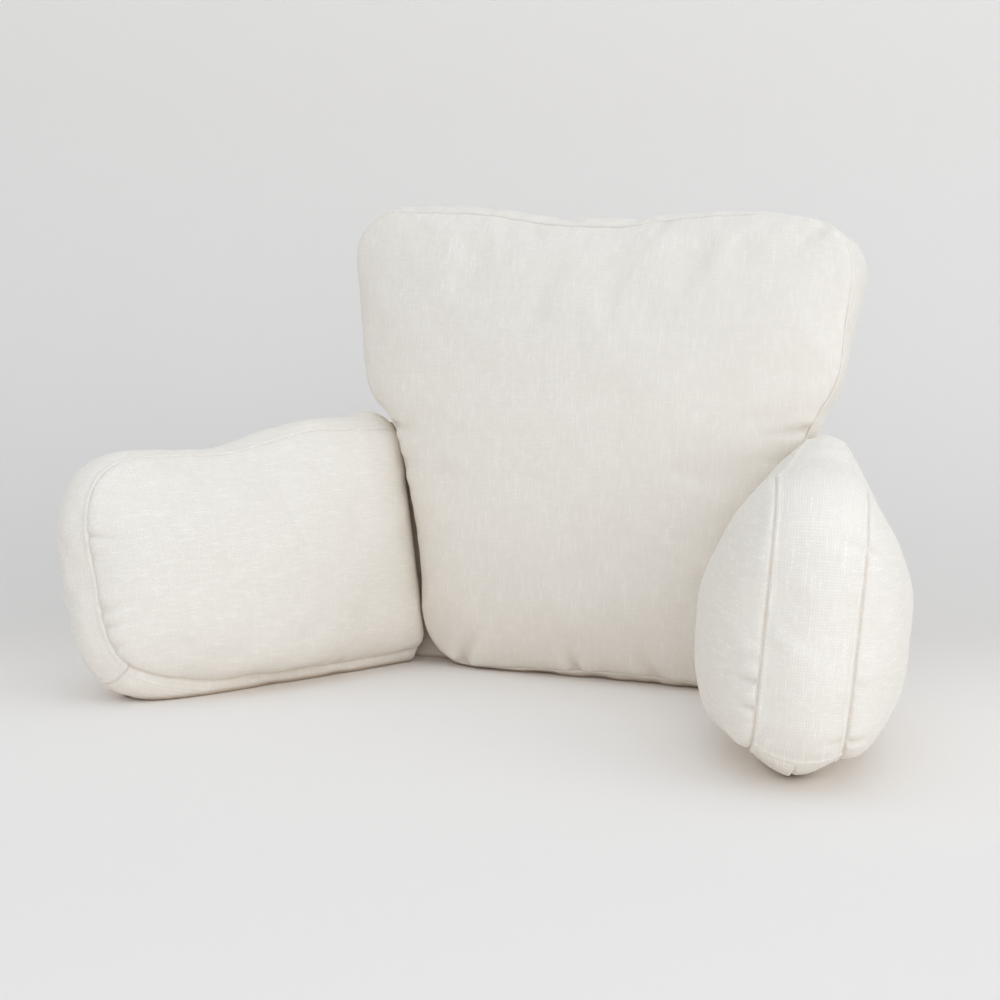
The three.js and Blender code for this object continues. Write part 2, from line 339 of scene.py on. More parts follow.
class PillowLight(bpy.types.PropertyGroup):
    """Light of the stage."""

    key: bpy.props.FloatProperty(
        name="Key", default=10.4, unit="POWER",
        description="Power of the soft light on the right",
    )
    front: bpy.props.FloatProperty(
        name="Front", default=11.3, unit="POWER",
        description="Power of the soft light in front",
    )
    horizon: bpy.props.FloatProperty(
        name="Horizon", default=0.34,
        description="Strength of the even light from all round, near the horizon",
    )
    zenith: bpy.props.FloatProperty(
        name="Zenith", default=1.2,
        description="Strength of the even light from straight above",
    )


@dataclass
class Cushion:
    """A filled cushion in its own frame, in metres: x across, z up its face, -y out of its front."""

    corners: tuple
    side: int
    middle: tuple
    dome: tuple
    crown: float
    fullness: float
    top_fullness: float
    bottom_fullness: float
    boxing: float
    boxing_bulge: float
    pressed_bow: float
    puffs: tuple
    lifted: tuple  # where the front seam is drawn in, off the floor
    drawn: tuple  # where the rear seam is drawn in
    rear_boxing: float
    twist: float
    taper_length: float
    lengthwise: bool  # whether the warp of the panels runs along x, not up
    closing: tuple
    seam_shade: float  # how dark the shade painted along the seams is
    shaded_seams: tuple  # where that painted shade is darker
    low_shade: float  # how much shade is painted on the cloth low down
    place: Matrix
    seed: float


def back_cushion(sizes):
    """The back cushion, which leans backwards."""
    return Cushion(
        corners=BACK_CORNERS, side=1, middle=(0, 165 * MM), dome=(172 * MM, 170 * MM), crown=37 * MM,
        fullness=0.56, top_fullness=0.56, bottom_fullness=0.56, boxing=sizes.boxing,
        boxing_bulge=6 * MM, pressed_bow=1.1, puffs=BACK_PUFFS, lifted=BACK_LIFTED, drawn=BACK_DRAWN,
        rear_boxing=sizes.boxing, twist=0, taper_length=0, lengthwise=False, closing=(),
        seam_shade=0.40, shaded_seams=BACK_SHADED_SEAMS, low_shade=0.12,
        place=Matrix.Rotation(-math.radians(BACK_LEAN), 4, "X"), seed=0.5,
    )


def arm_cushion(sizes, pose):
    """An arm cushion, which stands on edge, turned about its hinge and rolled outwards."""
    corners = tuple(
        corner._replace(
            x=corner.x + (pose.pressed_in if corner.at.startswith("rear") else 0),
            z=corner.z - (pose.sole_lowered if corner.at in SOLE_CORNERS else 0),
        )
        for corner in ARM_CORNERS
    )
    puffs = (
        Puff("rear end", pose.side * 12, 90, 75, -pose.rear_press),
        Puff("rear top", pose.side * 45, 180, 60, pose.rear_puff),
        Puff("toe", pose.side * 240, 16, 45, pose.toe_puff),
    )
    stand = Matrix.Translation((pose.x * MM, pose.y * MM, 0))
    turn = Matrix.Rotation(-pose.side * math.radians(90 - pose.opening), 4, "Z")
    roll = Matrix.Rotation(-math.radians(pose.roll), 4, "X")
    return Cushion(
        corners=corners, side=pose.side, middle=(pose.side * 142 * MM, 77 * MM),
        dome=(134 * MM, 88 * MM), crown=38 * MM,
        fullness=0.54, top_fullness=0.86, bottom_fullness=pose.bottom_fullness, boxing=sizes.boxing,
        boxing_bulge=7 * MM, pressed_bow=pose.pressed_bow, puffs=puffs, lifted=(), drawn=(),
        rear_boxing=pose.rear_boxing * MM, twist=math.radians(pose.twist), taper_length=230 * MM,
        lengthwise=True, closing=ARM_CLOSING, seam_shade=0.13, shaded_seams=(), low_shade=0.0,
        place=stand @ turn @ roll, seed=4.5 + pose.side,
    )


def unit(vectors):
    """The same vectors, each of length 1."""
    return vectors / np.linalg.norm(vectors, axis=-1, keepdims=True)


def lerp(a, b, share):
    """The value that lies this share of the way from a to b."""
    return a + (b - a) * share


def smoothstep(low, high, values):
    """0 below low, 1 above high, and an even rise between them."""
    share = np.clip((values - low) / (high - low), 0, 1)
    return share * share * (3 - 2 * share)


def bell(values, width):
    """A smooth hump of height 1 at 0."""
    return np.exp(-((values / width) ** 2))


def run_along(steps):
    """How far along a line each of its points lies, from the steps between them."""
    start = np.zeros((*steps.shape[:-1], 1))
    return np.concatenate((start, np.cumsum(steps, axis=-1)), axis=-1)


def points_at(places, along, path):
    """The points of a flat path at some places along it."""
    return np.stack([np.interp(places, along, path[:, axis]) for axis in (0, 1)], axis=1)


def rounded_outline(corners, side, count, dense):
    """A closed outline with rounded corners: points, the place of each along it, and its length.

    They run anticlockwise seen from the front, evenly spaced but for the dense places.
    """
    points = np.array([(corner.x * side, corner.z) for corner in corners], float) * MM
    rounds = np.array([corner.round for corner in corners], float)[:, None] * MM
    starts = points + unit(np.roll(points, 1, 0) - points) * rounds
    ends = points + unit(np.roll(points, -1, 0) - points) * rounds
    share = np.linspace(0, 1, ARC_STEPS)[:, None]
    bends = [
        (1 - share) ** 2 * start + 2 * share * (1 - share) * point + share**2 * end
        for start, point, end in zip(starts, points, ends)
    ]
    path = np.concatenate(bends)
    after = np.roll(path, -1, 0)
    if np.sum(path[:, 0] * after[:, 1] - after[:, 0] * path[:, 1]) < 0:
        path = path[::-1]
    path = np.concatenate((path, path[:1]))
    along = run_along(np.linalg.norm(np.diff(path, axis=0), axis=1))
    fine = np.linspace(0, along[-1], OUTLINE_STEPS)
    fine_path = points_at(fine, along, path)
    weight = np.ones(OUTLINE_STEPS)
    for x, z in dense:
        apart = np.linalg.norm(fine_path - np.array((x * side, z)) * MM, axis=1)
        weight += DENSER * bell(apart, DENSE_REACH)
    reached = run_along((weight[1:] + weight[:-1]) / 2)
    places = np.interp(np.arange(count) / count * reached[-1], reached, fine)
    return points_at(places, along, path), places, along[-1]


class CushionForm:
    """The seams, the panels and the boxing of a cushion, worked out along the columns of its mesh."""

    def __init__(self, cushion, columns):
        self.cushion = cushion
        self.columns = columns
        outline = rounded_outline(cushion.corners, cushion.side, columns, cushion.closing[:1])
        self.seam, self.places, self.perimeter = outline
        along = np.roll(self.seam, -1, 0) - np.roll(self.seam, 1, 0)
        self.outward = unit(np.stack((along[:, 1], -along[:, 0]), axis=1))
        self.pressed = np.maximum(0, -self.outward[:, 1]) ** FLOOR_FACING
        self.width = self.boxing_width()
        self.bulge = self.boxing_bulge()
        self.front_wander = self.wander(FRONT_WANDER, cushion.lifted)
        self.rear_wander = self.wander(REAR_WANDER, cushion.drawn)

    def wander(self, number, puffs):
        """How far a seam strays outwards at each column."""
        return SEAM_WANDER * self.loop_noise(SEAM_WANDER_LENGTH, number) + self.puffed(puffs)

    def loop_noise(self, length, number):
        """Smooth noise round the seam, about -1 to 1 at each column, in waves of this length."""
        radius = self.perimeter / (2 * math.pi * length)
        turns = self.places / self.perimeter * 2 * math.pi
        level = self.cushion.seed + NOISE_APART * number
        circle = [Vector((radius * math.cos(turn), radius * math.sin(turn), level)) for turn in turns]
        return np.array([noise.noise(point) for point in circle])

    def place_near(self, x, z):
        """The place along the seam nearest a point of the cushion's table."""
        target = np.array((x * self.cushion.side, z)) * MM
        return self.places[np.argmin(np.linalg.norm(self.seam - target, axis=1))]

    def boxing_width(self):
        """The boxing's width at each column: an arm's can narrow towards its hinge."""
        cushion = self.cushion
        if not cushion.taper_length:
            return np.full(self.columns, cushion.boxing)
        share = smoothstep(0, cushion.taper_length, np.abs(self.seam[:, 0]))
        return lerp(cushion.rear_boxing, cushion.boxing, share)

    def boxing_bulge(self):
        """How far the boxing bulges at each column."""
        return self.cushion.boxing_bulge + FLOOR_PRESS * self.pressed + self.puffed(self.cushion.puffs)

    def near(self, row):
        """How near each column is to the place of a table's row, from 0 to 1."""
        return bell(np.linalg.norm(self.seam - np.array((row.x, row.z)) * MM, axis=1), row.reach * MM)

    def puffed(self, puffs):
        """How far some puffs stand out at each column."""
        return sum((puff.height * MM * self.near(puff) for puff in puffs), np.zeros(self.columns))

    def seam_shade(self):
        """How dark the shade painted along the seams is at each column."""
        dark = (row.share * self.near(row) for row in self.cushion.shaded_seams)
        return sum(dark, np.full(self.columns, self.cushion.seam_shade))

    def twisted(self, points):
        """The points moved back by an arm's twist, which rolls its rear end further than its front."""
        cushion = self.cushion
        if not cushion.twist:
            return points
        along = smoothstep(0, cushion.taper_length, np.abs(points[:, 0]))
        back = points[:, 2] * math.tan(cushion.twist) * (1 - along)
        return points + np.stack((np.zeros(len(points)), back, np.zeros(len(points))), axis=1)

    def panel_profiles(self, region):
        """The spokes of a panel: their directions, and the radius, front and length along each."""
        cushion = self.cushion
        wander = self.front_wander if region == FRONT else self.rear_wander
        spread = np.sin(np.linspace(0, 1, PROFILE_STEPS) * math.pi / 2)
        to_seam = self.seam + self.outward * wander[:, None] - np.array(cushion.middle)
        reach = np.linalg.norm(to_seam, axis=1)
        direction = unit(to_seam)
        oval = 1 / np.hypot(direction[:, 0] / cushion.dome[0], direction[:, 1] / cushion.dome[1])
        radius = spread * lerp(oval[:, None], reach[:, None], spread**2)
        end = np.where(direction[:, 1] > 0, cushion.top_fullness, cushion.bottom_fullness)
        rise = lerp(cushion.fullness, end, direction[:, 1] ** 2)
        width = lerp(cushion.boxing, self.width[:, None], spread**2)
        front = width / 2 + cushion.crown * np.maximum(0, 1 - spread**2) ** rise[:, None]
        steps = np.hypot(np.diff(radius, axis=1), np.diff(front, axis=1))
        return direction, radius, front, run_along(steps)

    def boxing_ring(self, across):
        """A ring of points of the boxing, across from 1 at the front seam to -1 at the rear one."""
        wander = lerp(self.rear_wander, self.front_wander, (1 + across) / 2)
        share = 1 - np.abs(across) ** lerp(BOW, self.cushion.pressed_bow, self.pressed)
        flat = self.seam + self.outward * (self.bulge * share + wander)[:, None]
        return self.twisted(np.stack((flat[:, 0], -across * self.width / 2, flat[:, 1]), axis=1))


class CoverMesh:
    """The mesh of a cushion's cover, ring by ring from the front panel's middle to the rear panel's."""

    def __init__(self, cushion, divisions):
        self.form = CushionForm(cushion, divisions.columns)
        self.divisions = divisions
        self.points = []
        self.grain = []
        self.column = []
        self.region = []
        self.from_seam = []
        self.across = []
        self.taper = []
        self.rings = []
        self.count = 0
        self.add_panel(FRONT)
        self.add_boxing()
        self.add_panel(REAR)
        self.join_fields()
        self.faces, self.face_grain = self.join_rings()

    def add_ring(self, columns, points, grain, region, from_seam, across, taper):
        """Keeps one ring of vertices and what is known about them."""
        size = len(columns)
        self.points.append(points)
        self.grain.append(grain)
        self.column.append(columns)
        self.region.append(np.full(size, region))
        self.from_seam.append(np.broadcast_to(from_seam, size))
        self.across.append(np.broadcast_to(across, size))
        self.taper.append(np.broadcast_to(taper, size))
        self.rings.append(np.arange(self.count, self.count + size))
        self.count += size

    def stride(self, around):
        """How many columns apart the vertices of a ring of this length are."""
        count, face = self.divisions.columns, self.divisions.face
        most = count // FEWEST_COLUMNS
        stride = 1
        while stride < most and count % (stride * 2) == 0 and around * stride * 2 / count < face:
            stride *= 2
        return stride

    def add_panel(self, region):
        """One panel, with fewer columns towards its middle. It ends with the seam's own ring."""
        form, (count, edge, _, face) = self.form, self.divisions
        direction, radius, front, length = form.panel_profiles(region)
        total = length[:, -1]
        inner = total - edge[-1]
        inner_rings = int(np.mean(inner) / face)
        shares = np.arange(inner_rings) / inner_rings
        way = np.concatenate((inner[:, None] * shares, total[:, None] - edge[::-1]), axis=1)
        at_radius = np.array([np.interp(way[i], length[i], radius[i]) for i in range(count)])
        at_front = np.array([np.interp(way[i], length[i], front[i]) for i in range(count)])
        sign = 1 if region == FRONT else -1
        rings = []
        for ring in range(way.shape[1]):
            around = 2 * math.pi * np.mean(at_radius[:, ring])
            columns = np.arange(0, count, self.stride(around)) if ring else np.array([0])
            flat = np.array(form.cushion.middle) + direction[columns] * at_radius[columns, ring, None]
            points = np.stack((flat[:, 0], -sign * at_front[columns, ring], flat[:, 1]), axis=1)
            grain = direction[columns] * way[columns, ring, None]
            if form.cushion.lengthwise:
                grain = grain[:, ::-1]
            from_seam = total[columns] - way[columns, ring]
            taper = at_radius[columns, ring] / at_radius[columns, -1]
            rings.append((columns, form.twisted(points), grain, region, from_seam, sign, taper))
        for ring in rings if region == FRONT else rings[::-1]:
            self.add_ring(*ring)

    def add_boxing(self):
        """The boxing between the two seams' rings."""
        form = self.form
        edge = self.divisions.boxing_edge
        columns = np.arange(form.columns)
        for share in np.concatenate((edge[1:], 2 - edge[-2:0:-1])):
            across = 1 - share
            grain = np.stack((share * form.width / 2, form.places), axis=1)
            from_seam = (1 - abs(across)) * form.width / 2
            self.add_ring(columns, form.boxing_ring(across), grain, BOXING, from_seam, across, 1.0)

    def join_fields(self):
        """Turns the rings' lists into one array for each field."""
        for name in ("points", "grain", "column", "region", "from_seam", "across", "taper"):
            setattr(self, name, np.concatenate(getattr(self, name)))
        self.place_along = self.form.places[self.column]
        self.half_across = self.across * self.form.width[self.column] / 2

    def along_from(self, place):
        """How far along the seam each vertex lies from a place, the shorter way round."""
        perimeter = self.form.perimeter
        return (self.place_along - place + perimeter / 2) % perimeter - perimeter / 2

    def join_rings(self):
        """The faces between the rings, and the grain coordinates of their corners."""
        faces = []
        grains = []
        for near, far in zip(self.rings[:-1], self.rings[1:]):
            for face_set in stitched(near, far):
                faces.extend(face_set.tolist())
                grains.extend(self.corner_grain(face_set))
        return faces, np.concatenate(grains)

    def corner_grain(self, face_set):
        """The grain coordinates at some faces' corners. A boxing face can touch a seam's ring."""
        form = self.form
        columns = self.column[face_set]
        boxing = (self.region[face_set] == BOXING).any(axis=1)
        grain = self.grain[face_set].copy()
        from_front = (1 - self.across[face_set]) * form.width[columns] / 2
        strip = np.stack((from_front, self.place_along[face_set]), axis=2)
        wrapped = (columns == 0) & (columns == form.columns - 1).any(axis=1)[:, None]
        strip[..., 1] += wrapped * form.perimeter
        grain[boxing] = strip[boxing]
        return list(grain)


def stitched(near, far):
    """Faces between two rings: of equal counts, one of twice the other, or one of a single point."""
    if len(near) == 1:
        return [np.stack((np.full(len(far), near[0]), far, np.roll(far, -1)), axis=1)]
    if len(far) == 1:
        return [np.stack((near, np.full(len(near), far[0]), np.roll(near, -1)), axis=1)]
    after_near, after_far = np.roll(near, -1), np.roll(far, -1)
    if len(near) == len(far):
        return [np.stack((near, far, after_far, after_near), axis=1)]
    if len(far) == 2 * len(near):
        even, odd, last = far[0::2], far[1::2], np.roll(far[0::2], -1)
        return [
            np.stack((near, even, odd), axis=1),
            np.stack((near, odd, after_near), axis=1),
            np.stack((after_near, odd, last), axis=1),
        ]
    even, odd, last = near[0::2], near[1::2], np.roll(near[0::2], -1)
    return [
        np.stack((even, far, odd), axis=1),
        np.stack((odd, far, after_far), axis=1),
        np.stack((odd, after_far, last), axis=1),
    ]


def vertex_normals(points, faces):
    """The outward direction at each vertex, by the areas of the faces around it."""
    normals = np.zeros_like(points)
    for size in (3, 4):
        group = np.array([face for face in faces if len(face) == size])
        if not len(group):
            continue
        first = points[group[:, size - 2]] - points[group[:, 0]]
        second = points[group[:, -1]] - points[group[:, 1]]
        area = np.cross(first, second)
        for corner in range(size):
            np.add.at(normals, group[:, corner], area)
    return unit(normals)


def seam_relief(cover, sizes):
    """How far a plain seam draws the cloth in, with the ridge of its allowance on the boxing's side."""
    uneven = cover.form.loop_noise(SEAM_WAVE, SEAM_UNEVEN)[cover.column]
    groove = -sizes.seam_depth * (1 + GROOVE_VARIES * uneven) * bell(cover.from_seam, SEAM_GROOVE)
    beside = bell(cover.from_seam - SEAM_ALLOWANCE, SEAM_RIDGE)
    ridge = sizes.seam_ridge * (1 - RIDGE_VARIES * uneven) * beside
    return groove + ridge * (cover.region == BOXING)


def seam_gathers(cover, sizes):
    """Small gathers that run square out of the seams on both sides."""
    relief = np.zeros(len(cover.points))
    for region in (FRONT, BOXING, REAR):
        waves = cover.form.loop_noise(GATHER_LENGTH, GATHER_NOISE + region)
        waves += HALF_GATHER * cover.form.loop_noise(GATHER_LENGTH / 2, HALF_GATHER_NOISE + region)
        fade = np.exp(-cover.from_seam / GATHER_REACH) * smoothstep(0, SEWN_FLAT, cover.from_seam)
        relief += sizes.gathers * waves[cover.column] * fade * (cover.region == region)
    return relief


def uneven_filling(cover, sizes):
    """Soft lumps of the filling, which fade out towards the seams."""
    seed = cover.form.cushion.seed
    places = [Vector(point) for point in cover.points]
    lumps = np.array([noise.noise(place / LUMP_LENGTH + Vector((0, 0, seed))) for place in places])
    small = np.array([noise.noise(place / SMALL_LUMP + Vector((seed, 0, 0))) for place in places])
    rise = lerp(LUMPS_AT_SEAM, 1, smoothstep(*LUMPS_RISE, cover.from_seam))
    return sizes.unevenness * (lumps + SMALL_LUMP_SHARE * small) * rise


def folded(cover, folds):
    """Puckers that run square from a seam into a panel or the boxing."""
    relief = np.zeros(len(cover.points))
    for fold in folds:
        along = cover.along_from(cover.form.place_near(fold.x, fold.z))
        apart = along * cover.taper / (fold.width * MM)
        from_seam = cover.from_seam / (fold.length * MM)
        crease = (1 - 2 * apart**2) * np.exp(-(apart**2)) * np.exp(-(from_seam**2))
        loose = smoothstep(0, SEWN_FLAT, cover.from_seam)
        relief -= fold.depth * MM * crease * loose * (cover.region == fold.panel)
    return relief


def dented(cover, dents):
    """Soft hollows, or humps where the depth is negative: on a panel by x and z, on the boxing along and
    across it.
    """
    relief = np.zeros(len(cover.points))
    side = cover.form.cushion.side
    for dent in dents:
        if dent.panel == BOXING:
            along = cover.along_from(cover.form.place_near(dent.x, dent.z))
            square = cover.half_across - dent.across * MM
        else:
            along = cover.points[:, 0] - side * dent.x * MM
            square = cover.points[:, 2] - dent.z * MM
        hollow = bell(along, dent.length * MM) * bell(square, dent.width * MM)
        loose = smoothstep(0, DENT_FLAT, cover.from_seam)
        relief -= dent.depth * MM * hollow * loose * (cover.region == dent.panel)
    return relief


def closing_relief(cover, sizes):
    """The relief of the seam across an arm's toe and of its lapped closing, and the shade painted into
    their slits.
    """
    relief = np.zeros(len(cover.points))
    if not cover.form.cushion.closing:
        return relief, relief
    start, end = (cover.form.place_near(x, z) for x, z in cover.form.cushion.closing)
    under = -cover.form.cushion.side * cover.along_from(start)
    length = abs(cover.along_from(start)[np.argmin(np.abs(cover.along_from(end)))])
    relief -= sizes.seam_depth * bell(under, SEAM_GROOVE)
    relief += sizes.seam_ridge * bell(under + SEAM_ALLOWANCE, SEAM_RIDGE)
    lapped = smoothstep(0, LAP_START, under) * (1 - smoothstep(length - LAP_END, length, under))
    edge = cover.half_across
    relief -= LAP_GROOVE * bell(edge, LAP_GROOVE_WIDTH) * lapped
    lap = smoothstep(0, LAP_RISE, edge) * np.exp(-np.maximum(edge, 0) / LAP_WIDTH)
    relief += LAP_HEIGHT * lap * lapped
    # painted shade in the slits
    slit = np.maximum(bell(under, SEAM_SHADE_WIDTH), bell(edge, SEAM_SHADE_WIDTH) * lapped)
    inside = cover.region == BOXING
    return relief * inside, slit * inside


def linked_mean(values, pairs):
    """The mean of the values at the vertices linked to each vertex."""
    total = np.zeros(len(values))
    count = np.zeros(len(values))
    for a, b in (pairs.T, pairs.T[::-1]):
        np.add.at(total, a, values[b])
        np.add.at(count, a, 1)
    return total / count


def add_object(name, data):
    """A new object in the scene."""
    made = bpy.data.objects.new(name, data)
    bpy.context.scene.collection.objects.link(made)
    return made


def swollen(coarse, sizes):
    """A coarse cover's points after a cloth simulation with its seams held, and its linked vertices."""
    mesh = bpy.data.meshes.new("simulated")
    mesh.from_pydata(coarse.points.tolist(), [], coarse.faces)
    made = add_object("simulated", mesh)
    sewn = made.vertex_groups.new(name="sewn")
    sewn.add(np.nonzero(coarse.from_seam < SEWN)[0].tolist(), 1, "REPLACE")
    modifier = made.modifiers.new("Cloth", "CLOTH")
    cloth = modifier.settings
    cloth.quality = QUALITY
    cloth.vertex_group_mass = "sewn"
    cloth.use_pressure = True
    cloth.uniform_pressure_force = PRESSURE
    cloth.effector_weights.gravity = 0
    cloth.shrink_min = -sizes.slack
    cloth.shrink_max = -sizes.slack
    cloth.bending_stiffness = BENDING
    modifier.collision_settings.use_collision = False
    modifier.point_cache.frame_end = FRAMES
    scene = bpy.context.scene
    for frame_number in range(1, FRAMES + 1):
        scene.frame_set(frame_number)
    held = made.evaluated_get(bpy.context.evaluated_depsgraph_get())
    points = np.array([vertex.co for vertex in held.data.vertices])
    pairs = np.array([edge.vertices for edge in mesh.edges])
    bpy.data.objects.remove(made)
    bpy.data.meshes.remove(mesh)
    scene.frame_set(1)
    return points, pairs


def cloth_wrinkles(cover, sizes):
    """Wrinkles of the filled cloth at each vertex, from a cloth simulation of a coarser cover."""
    coarse = CoverMesh(cover.form.cushion, COARSE)
    points, pairs = swollen(coarse, sizes)
    moved = np.sum((points - coarse.points) * vertex_normals(coarse.points, coarse.faces), axis=1)
    smooth = moved
    for _ in range(SMOOTHINGS):
        smooth = (smooth + linked_mean(smooth, pairs)) / 2
    wrinkles = MOST_WRINKLED * np.tanh((moved - smooth) / MOST_WRINKLED)
    return spread_out(coarse.points, wrinkles, cover.points)


def spread_out(known, values, points):
    """The values at some points, as a weighted mean of those known nearby."""
    tree = KDTree(len(known))
    for i, point in enumerate(known):
        tree.insert(point, i)
    tree.balance()
    result = np.zeros(len(points))
    for i, point in enumerate(points):
        near = tree.find_n(point, NEIGHBOURS)
        weights = np.array([math.exp(-((distance / SPREAD) ** 2)) for _, _, distance in near])
        result[i] = weights @ values[[index for _, index, _ in near]] / weights.sum()
    return result


def settled(points, place):
    """The points in the pillow's frame, pressed flat where they would reach below the floor."""
    turn = np.array(place)
    placed = points @ turn[:3, :3].T + turn[:3, 3]
    placed[:, 2] = np.maximum(placed[:, 2], 0)
    return placed


def floor_shade(points):
    """How dark the cloth looks at each point because the floor is near."""
    return FLOOR_SHADE * bell(points[:, 2], FLOOR_SHADED)


def mesh_object(name, points, faces, map_name, corners, material):
    """A mesh object with smooth faces, a map of their corners, and one material."""
    mesh = bpy.data.meshes.new(name)
    mesh.from_pydata(points, [], faces)
    corners = np.asarray(corners, np.float32)
    mesh.uv_layers.new(name=map_name).data.foreach_set("uv", corners.ravel())
    mesh.shade_smooth()
    mesh.materials.append(material)
    return add_object(name, mesh)


def cloth_object(name, points, faces, grain, crease, material):
    """A piece of cloth with its grain coordinates, and how much shade is painted on it at each vertex.
    """
    made = mesh_object(name, points.tolist(), faces, GRAIN_MAP, grain, material)
    dark = made.data.attributes.new(PAINTED_SHADE, "FLOAT", "POINT")
    dark.data.foreach_set("value", crease.astype(np.float32))
    return made


def make_cover(name, node, cushion, divisions, sizes, folds, dents, material):
    """The cover of one cushion, in place of its solid."""
    cover = CoverMesh(cushion, divisions)
    normals = vertex_normals(cover.points, cover.faces)
    relief = seam_relief(cover, sizes) + seam_gathers(cover, sizes) + uneven_filling(cover, sizes)
    folding = folded(cover, folds)
    closing, slit = closing_relief(cover, sizes)
    # Painted shade along the seams, and in the slits of an arm's closing
    seams = cover.form.seam_shade()[cover.column] * np.maximum(bell(cover.from_seam, SEAM_SHADE_WIDTH), slit)
    relief += folding + dented(cover, dents) + closing
    relief += cloth_wrinkles(cover, sizes)
    points = settled(cover.points + normals * relief[:, None], cushion.place)
    # Painted shade low on the back, along the seams, in the hollows of the folds and where the cloth
    # curves under to the floor
    low = cushion.low_shade * bell(points[:, 2], LOW_SHADED)
    crease = np.clip(np.maximum(low + seams - folding / FOLD_SHADED, floor_shade(points)), 0, 1)
    made = cloth_object(name, points, cover.faces, cover.face_grain, crease, material)
    middle = (cover.region == BOXING) & (cover.across == 0)
    made.data.attributes.new(BOXING_MIDDLE, "BOOLEAN", "POINT").data.foreach_set("value", middle)
    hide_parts(node)
    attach(made, BODY)


# The hinge cloth: its lower end, how far it bows out, how far it lies off the covers that it is sewn
# to, its rows and columns, and how much shade is painted on it inside, between the cushions, and outside
HINGE_BOTTOM = 0.5 * MM
HINGE_REACH = 9 * MM
HINGE_SEWN = 0.75 * MM
HINGE_ROWS = 60
HINGE_COLUMNS = 16
HINGE_SHADE = 0.36
HINGE_OUTER_SHADE = 0.06
LEVEL = 1e-9  # the rise under which a stretch of a line counts as level


def crossing(line, height, direction):
    """Where a closed line of points crosses a height, furthest along a direction."""
    after = np.roll(line, -1, 0)
    hits = np.nonzero((line[:, 2] - height) * (after[:, 2] - height) <= 0)[0]
    rise = after[hits, 2] - line[hits, 2]
    level = np.abs(rise) <= LEVEL
    share = np.where(level, 0, (height - line[hits, 2]) / np.where(level, 1, rise))
    found = lerp(line[hits], after[hits], share[:, None])
    return found[np.argmax(found @ direction)]


def boxing_middle(cover):
    """The middle line of a finished cover's boxing."""
    mesh = bpy.data.objects[cover].data
    count = len(mesh.vertices)
    points, middle = np.zeros(count * 3), np.zeros(count, bool)
    mesh.vertices.foreach_get("co", points)
    mesh.attributes[BOXING_MIDDLE].data.foreach_get("value", middle)
    return points.reshape(-1, 3)[middle]


def curve(start, from_start, to_end, end, share):
    """A smooth curve from start to end that sets out and arrives by way of two other points."""
    rest = 1 - share
    return (
        rest**3 * start
        + 3 * rest**2 * share * from_start
        + 3 * rest * share**2 * to_end
        + share**3 * end
    )


def make_hinge_strip(side, pose, back_line, arm_line, sizes, material):
    """A strip of cloth from the rear end of an arm, round to the side of the back."""
    opening = math.radians(pose.opening)
    behind_arm = np.array((-pose.side * math.sin(opening), math.cos(opening), 0))
    beside_back = np.array((pose.side, 0, 0), float)
    heights = np.linspace(HINGE_BOTTOM, pose.hinge_top * MM, HINGE_ROWS)
    share = np.linspace(0, 1, HINGE_COLUMNS)[:, None]
    middle = np.zeros((HINGE_ROWS, HINGE_COLUMNS, 3))
    for row, height in enumerate(heights):
        start = crossing(arm_line, height, behind_arm) + behind_arm * HINGE_SEWN
        end = crossing(back_line, height, beside_back) + beside_back * HINGE_SEWN
        from_arm = start + behind_arm * HINGE_REACH
        to_back = end + beside_back * HINGE_REACH
        middle[row] = curve(start, from_arm, to_back, end, share)
    along = np.gradient(middle, axis=1)
    square = unit(np.stack((along[..., 1], -along[..., 0], np.zeros(along.shape[:2])), axis=2))
    half = square * sizes.strip_thickness / 2
    across = run_along(np.linalg.norm(np.diff(middle, axis=1), axis=2))
    grain = np.stack((across, np.broadcast_to(heights[:, None], across.shape)), axis=2).reshape(-1, 2)
    points = np.concatenate(((middle + half).reshape(-1, 3), (middle - half).reshape(-1, 3)))
    faces = closed_sheet(HINGE_ROWS, HINGE_COLUMNS)
    corners = np.concatenate([np.concatenate((grain, grain))[face] for face in faces])
    # Painted shade: heavy on the side that faces into the gap between the cushions, light on the outer
    # side, and more near the floor
    outside = np.sign(square @ (behind_arm + beside_back)).ravel()
    tone = np.where(np.concatenate((outside, -outside)) > 0, HINGE_OUTER_SHADE, HINGE_SHADE)
    crease = np.maximum(tone, floor_shade(points))
    made = cloth_object(f"{side}_hinge_cloth", points, faces, corners, crease, material)
    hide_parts(f"{side}_hinge_strip")
    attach(made, BODY)


def closed_sheet(rows, columns):
    """The faces of a closed sheet between two grids of points."""
    grid = np.arange(rows * columns).reshape(rows, columns)
    corners = (grid[:-1, :-1], grid[:-1, 1:], grid[1:, 1:], grid[1:, :-1])
    squares = np.stack(corners, axis=2).reshape(-1, 4)
    both = np.stack((squares, squares[:, ::-1] + grid.size), axis=1).reshape(-1, 4)
    rim = np.concatenate((grid[0], grid[1:, -1], grid[-1, -2::-1], grid[-2:0:-1, 0]))
    after = np.roll(rim, -1)
    sides = np.stack((rim, rim + grid.size, after + grid.size, after), axis=1)
    return np.concatenate((both, sides)).tolist()


